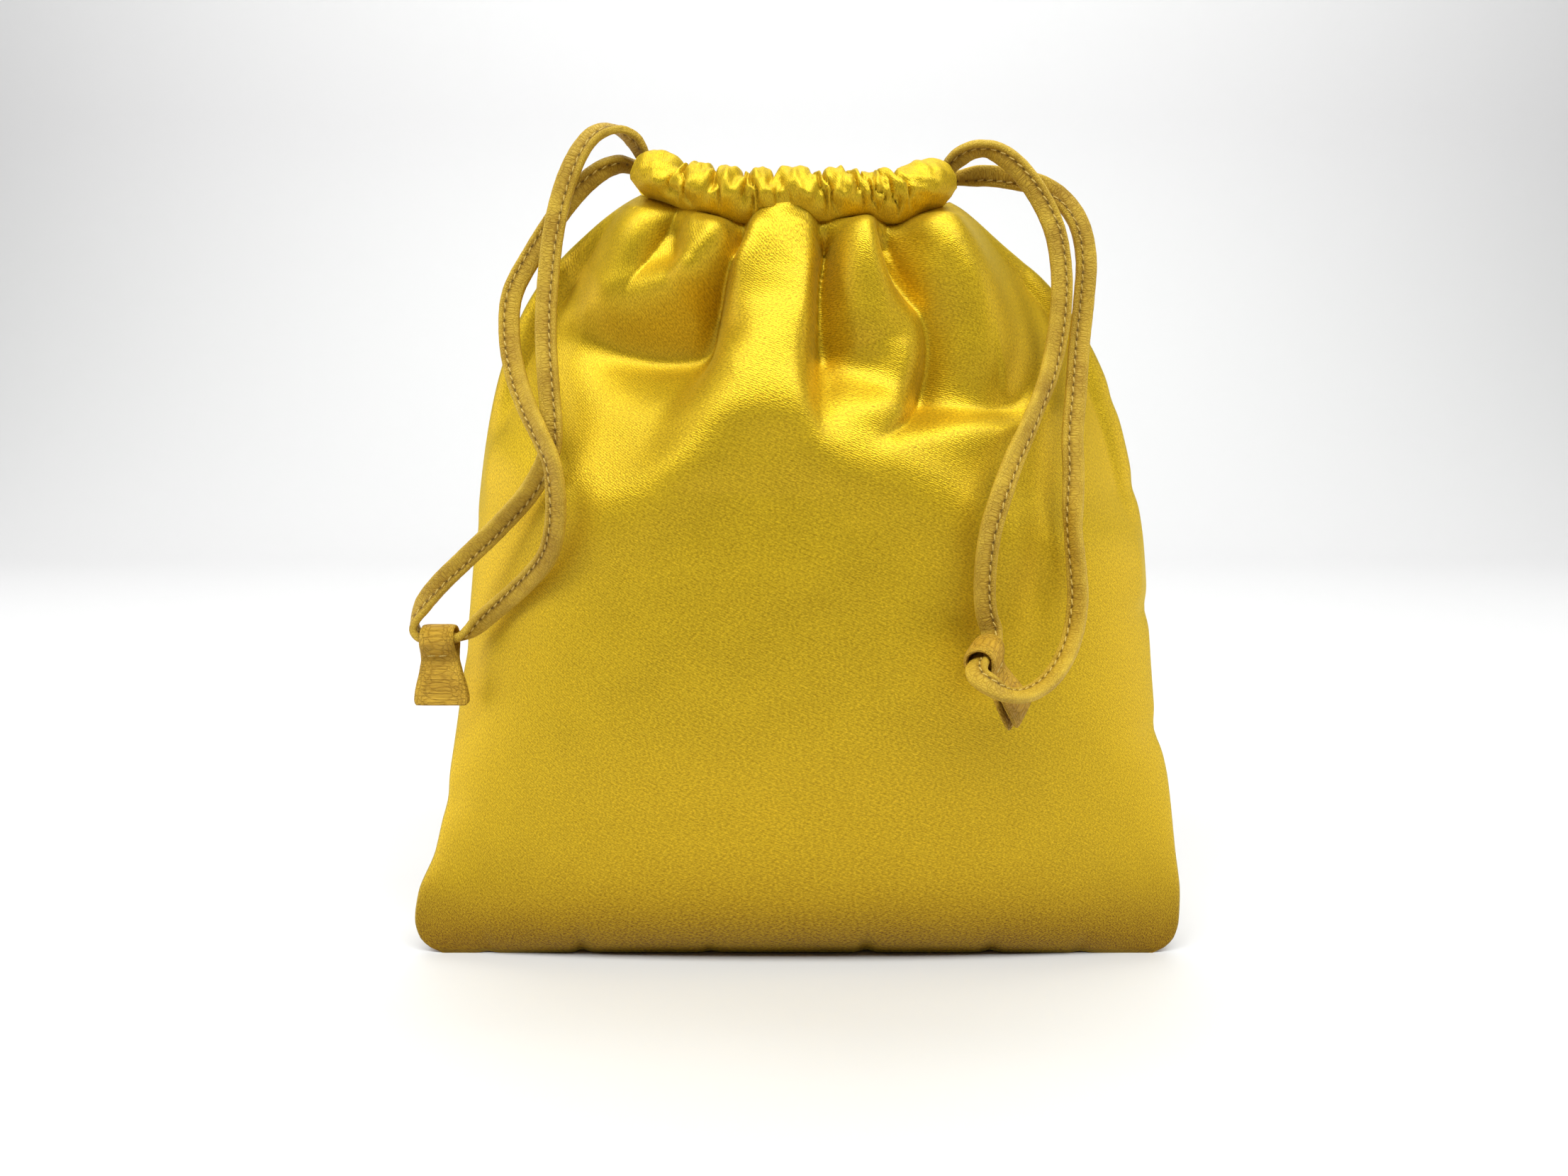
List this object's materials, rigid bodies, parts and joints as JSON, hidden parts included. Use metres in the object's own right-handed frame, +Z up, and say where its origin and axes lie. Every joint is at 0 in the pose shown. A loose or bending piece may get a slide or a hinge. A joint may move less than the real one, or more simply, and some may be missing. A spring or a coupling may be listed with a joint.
{
  "type": "drawstring pouch",
  "caption": "Soft satin pouch with a gathered mouth, drawn shut by flat leather cords that hang in loops at the sides and end in folded leather tabs.",
  "frame": {"origin": "on the table, under the middle of the pouch's box, cords and tabs left out", "axes": "+Z up, -Y the front seen in the picture, +X to the right of the picture"},
  "size_m": [0.1782, 0.0799, 0.1874],
  "materials": {
    "satin": "golden yellow satin, soft sheen",
    "leather": "tan leather, fine grain, matt"
  },
  "bodies": {
    "root": {"front_panel": "satin", "back_panel": "satin", "front_channel": "satin", "back_channel": "satin", "left_drawcord": "leather", "right_drawcord": "leather", "left_drawcord_run": "leather", "right_drawcord_run": "leather", "left_tab": "leather", "right_tab": "leather"}
  },
  "joints": []
}
